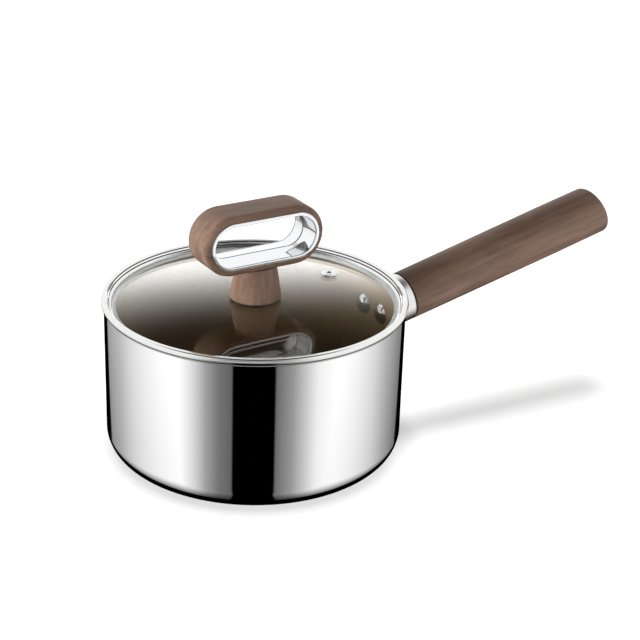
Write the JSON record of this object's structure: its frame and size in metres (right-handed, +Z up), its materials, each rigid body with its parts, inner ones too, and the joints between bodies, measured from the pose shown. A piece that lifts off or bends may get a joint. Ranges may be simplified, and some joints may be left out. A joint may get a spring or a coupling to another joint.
{
  "type": "saucepan with lid",
  "caption": "Straight-sided stainless steel saucepan with a low domed glass lid, a wooden loop knob lined in chrome and a long wooden handle riveted to the wall.",
  "frame": {"origin": "centre of the pan's flat underside, on the pan's axis", "axes": "+Z up along the pan's axis, +X along the handle away from the pan, seen from above"},
  "size_m": [0.3366, 0.1676, 0.1412],
  "materials": {
    "polished_steel": "mirror polished stainless steel",
    "coated_steel": "satin brown non-stick coating with a bare polished rim",
    "aluminium": "plain rolled sheet, bonded between the two steel sheets",
    "zinc_steel": "zinc plated",
    "silicone": "matt black silicone",
    "brass": "plain turned",
    "walnut": "fine-sanded walnut with a satin seal",
    "chrome": "bright chrome plate",
    "glass": "clear tempered glass"
  },
  "bodies": {
    "pan": {"pan_shell": "polished_steel", "pan_core": "aluminium", "pan_liner": "coated_steel", "handle_rivet_left": "polished_steel", "handle_rivet_right": "polished_steel", "handle_bracket": "zinc_steel", "handle_ferrule": "polished_steel", "handle_stud": "zinc_steel", "handle_gasket": "silicone", "handle_insert": "brass", "handle_grip": "walnut"},
    "lid": {"lid_rim_band": "polished_steel", "lid_glass": "glass", "vent_eyelet": "polished_steel", "vent_ring": "polished_steel", "knob_gasket": "silicone", "knob_under_gasket": "silicone", "knob_washer": "zinc_steel", "knob_screw": "zinc_steel", "knob_insert": "brass", "knob_stem": "walnut", "knob_loop": "walnut", "knob_loop_screw": "zinc_steel", "knob_trim_front": "chrome", "knob_trim_back": "chrome"}
  },
  "joints": [
    {"name": "lid_lift", "type": "slide", "parent": "pan", "child": "lid", "axis": [0, 0, 1], "range_m": [0, 0.12]}
  ]
}
